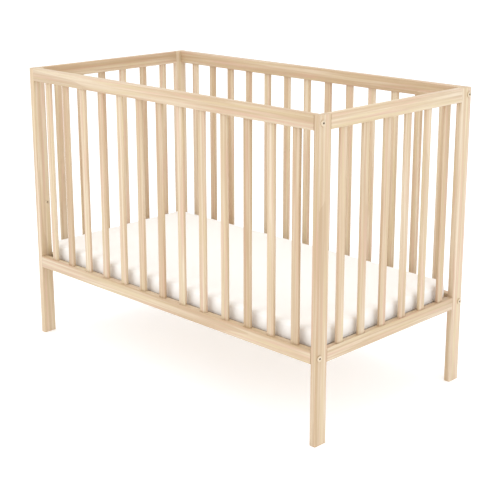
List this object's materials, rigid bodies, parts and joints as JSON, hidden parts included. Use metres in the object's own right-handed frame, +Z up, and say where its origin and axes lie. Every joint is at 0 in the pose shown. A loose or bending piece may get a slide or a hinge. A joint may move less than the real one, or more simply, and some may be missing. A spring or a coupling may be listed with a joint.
{
  "type": "baby crib",
  "caption": "Plain wooden crib with straight square posts, slatted sides and ends, bolted joints, a slatted bed base of two heights and a white foam mattress.",
  "frame": {"origin": "on the floor, under the middle of the crib", "axes": "+X along the long sides towards the right end, +Y from the front long side to the back one, +Z up"},
  "size_m": [1.2466, 0.66, 0.9],
  "materials": {
    "timber": "clear satin lacquer on pale solid wood with fine straight grain",
    "bolt_steel": "satin zinc plated",
    "ticking": "plain off-white woven cotton cover over foam"
  },
  "bodies": {
    "frame": {"post_front_left": "timber", "post_back_left": "timber", "post_front_right": "timber", "post_back_right": "timber", "front_top_rail": "timber", "front_bottom_rail": "timber", "back_top_rail": "timber", "back_bottom_rail": "timber", "left_top_rail": "timber", "left_bottom_rail": "timber", "right_top_rail": "timber", "right_bottom_rail": "timber", "front_slat_01": "timber", "front_slat_02": "timber", "front_slat_03": "timber", "front_slat_04": "timber", "front_slat_05": "timber", "front_slat_06": "timber", "front_slat_07": "timber", "front_slat_08": "timber", "front_slat_09": "timber", "front_slat_10": "timber", "front_slat_11": "timber", "front_slat_12": "timber", "front_slat_13": "timber", "back_slat_01": "timber", "back_slat_02": "timber", "back_slat_03": "timber", "back_slat_04": "timber", "back_slat_05": "timber", "back_slat_06": "timber", "back_slat_07": "timber", "back_slat_08": "timber", "back_slat_09": "timber", "back_slat_10": "timber", "back_slat_11": "timber", "back_slat_12": "timber", "back_slat_13": "timber", "left_slat_1": "timber", "left_slat_2": "timber", "left_slat_3": "timber", "left_slat_4": "timber", "left_slat_5": "timber", "left_slat_6": "timber", "right_slat_1": "timber", "right_slat_2": "timber", "right_slat_3": "timber", "right_slat_4": "timber", "right_slat_5": "timber", "right_slat_6": "timber", "bolt_front_left_top": "bolt_steel", "bolt_front_left_bottom": "bolt_steel", "bolt_back_left_top": "bolt_steel", "bolt_back_left_bottom": "bolt_steel", "bolt_front_right_top": "bolt_steel", "bolt_front_right_bottom": "bolt_steel", "bolt_back_right_top": "bolt_steel", "bolt_back_right_bottom": "bolt_steel"},
    "base": {"bed_base": "timber"},
    "mattress": {"mattress": "ticking"}
  },
  "joints": [
    {"name": "base_height", "type": "slide", "parent": "frame", "child": "base", "axis": [0, 0, 1], "range_m": [0, 0.2]},
    {"name": "mattress_lift", "type": "slide", "parent": "base", "child": "mattress", "axis": [0, 0, 1], "range_m": [0, 0.65]}
  ]
}
